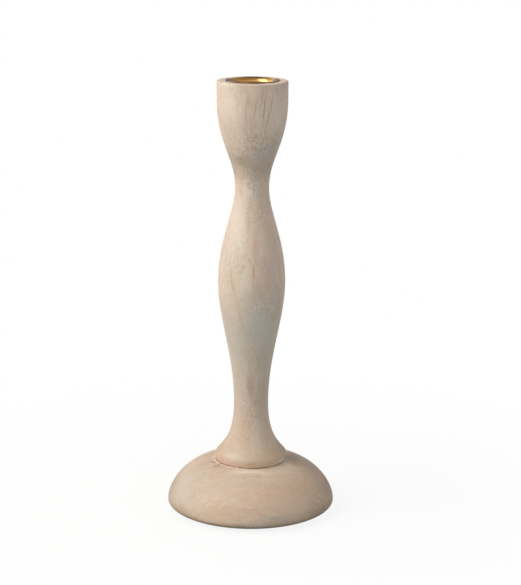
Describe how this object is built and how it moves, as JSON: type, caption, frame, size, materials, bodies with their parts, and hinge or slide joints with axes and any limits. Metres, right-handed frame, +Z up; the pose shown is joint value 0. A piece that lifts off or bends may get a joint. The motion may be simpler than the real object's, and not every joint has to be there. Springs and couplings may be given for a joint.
{
  "type": "candlestick",
  "caption": "Turned wooden candlestick: a domed base, a slender baluster stem with a flared foot, and a brass cup let into its head for a taper candle.",
  "frame": {"origin": "centre of the felt's lower face, which is the face that the candlestick stands on", "axes": "+Z up along the stem towards the candle; X and Y are level, and the part is turned about Z"},
  "size_m": [0.0966, 0.0966, 0.25],
  "materials": {
    "base_wood": "bleached hardwood, turned and sanded, matt, grain level",
    "stem_wood": "bleached hardwood, turned and sanded, matt, grain upright",
    "cup_brass": "pressed brass sheet, polished, a little tarnished at the lip",
    "screw_brass": "turned brass wood screw",
    "screw_steel": "bright zinc-plated steel",
    "felt": "pressed wool felt"
  },
  "bodies": {
    "root": {"base": "base_wood", "stem": "stem_wood", "candle_cup": "cup_brass", "cup_screw": "screw_brass", "stem_screw": "screw_steel", "stem_washer": "screw_steel", "felt_pad": "felt"}
  },
  "joints": []
}
